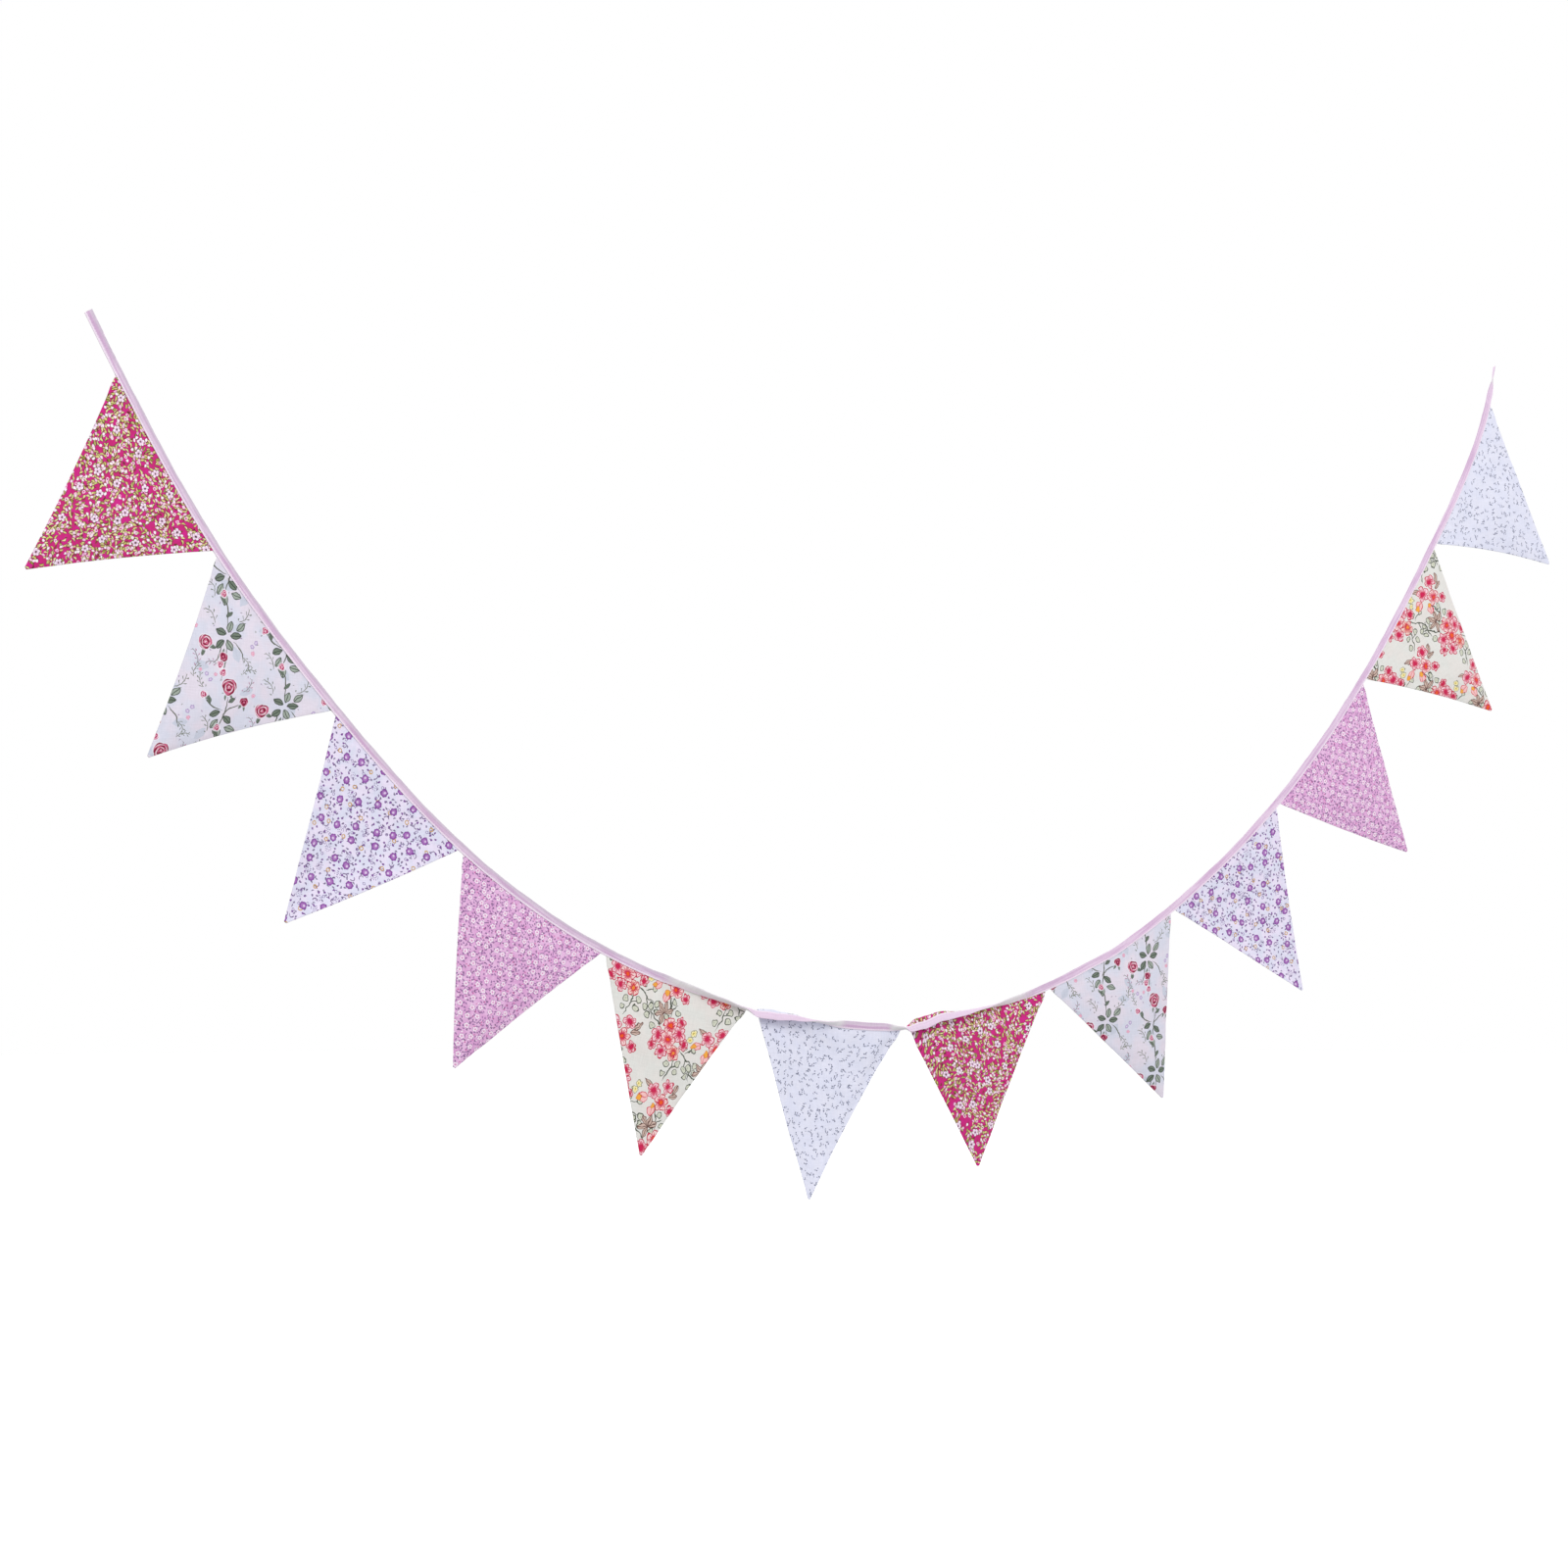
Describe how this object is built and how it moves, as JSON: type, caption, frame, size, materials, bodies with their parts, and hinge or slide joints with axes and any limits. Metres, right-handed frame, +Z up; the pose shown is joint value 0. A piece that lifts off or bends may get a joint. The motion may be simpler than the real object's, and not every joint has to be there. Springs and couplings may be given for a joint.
{
  "type": "fabric bunting",
  "caption": "Cotton bunting: flowered three-cornered pennants sewn into a folded pink binding tape, hung in a swag by the tape's two ends.",
  "frame": {"origin": "middle of the tape's cut left end, where the bunting is held up", "axes": "+X from the left end towards the right end, +Z up, the printed front faces -Y"},
  "size_m": [1.8768, 0.0155, 0.8897],
  "materials": {
    "tape": "plain-weave cotton binding, pale pink, matt",
    "magenta_print": "matt printed cotton, magenta with small white flowers and yellow-green leaves",
    "rose_print": "matt printed cotton, lavender white with red rose sprays and grey-green leaves",
    "violet_print": "matt printed cotton, lavender white with purple flowers and ochre rings",
    "pink_print": "matt printed cotton, pink with tiny white flowers",
    "blossom_print": "matt printed cotton, cream with coral blossoms and line-drawn leaves",
    "sprig_print": "matt printed cotton, bluish white with tiny grey sprigs"
  },
  "bodies": {
    "root": {"binding_tape": "tape", "pennant_01": "magenta_print", "pennant_02": "rose_print", "pennant_03": "violet_print", "pennant_04": "pink_print", "pennant_05": "blossom_print", "pennant_06": "sprig_print", "pennant_07": "magenta_print", "pennant_08": "rose_print", "pennant_09": "violet_print", "pennant_10": "pink_print", "pennant_11": "blossom_print", "pennant_12": "sprig_print"}
  },
  "joints": []
}
